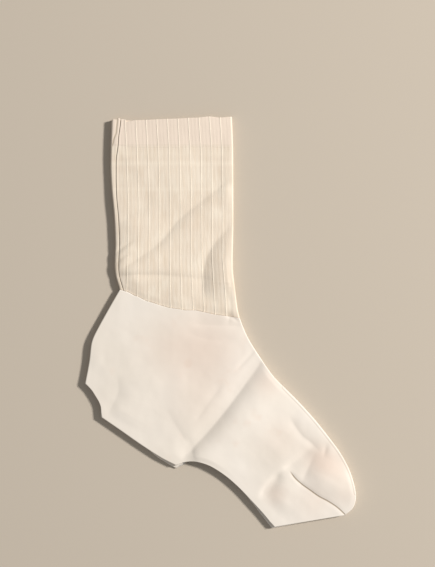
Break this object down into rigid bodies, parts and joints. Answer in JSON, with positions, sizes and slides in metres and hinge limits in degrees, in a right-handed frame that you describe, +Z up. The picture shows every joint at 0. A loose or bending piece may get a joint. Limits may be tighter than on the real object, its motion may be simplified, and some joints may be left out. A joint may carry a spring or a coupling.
{
  "type": "pair of overshoes",
  "caption": "Cycling overshoes laid flat, one on the other: ribbed ankle cuffs, smooth stretch foot panels, open heel notch and arch.",
  "frame": {"origin": "centre of the pair's footprint, at the bottom of its bounding box, on the surface it lies on", "axes": "+Z up from the surface, +Y up the leg towards the cuffs' openings, +X towards the side the toes point to"},
  "size_m": [0.2214, 0.3366, 0.0075],
  "materials": {
    "ribbed_cuff": "matt ribbed knit, cream white",
    "smooth_foot": "smooth coated stretch cloth, warm white with a faint sheen"
  },
  "bodies": {
    "root": {"upper_cuff": "ribbed_cuff", "upper_foot_top": "smooth_foot", "upper_foot_under": "smooth_foot", "lower_cuff": "ribbed_cuff", "lower_foot_top": "smooth_foot", "lower_foot_under": "smooth_foot"}
  },
  "joints": []
}
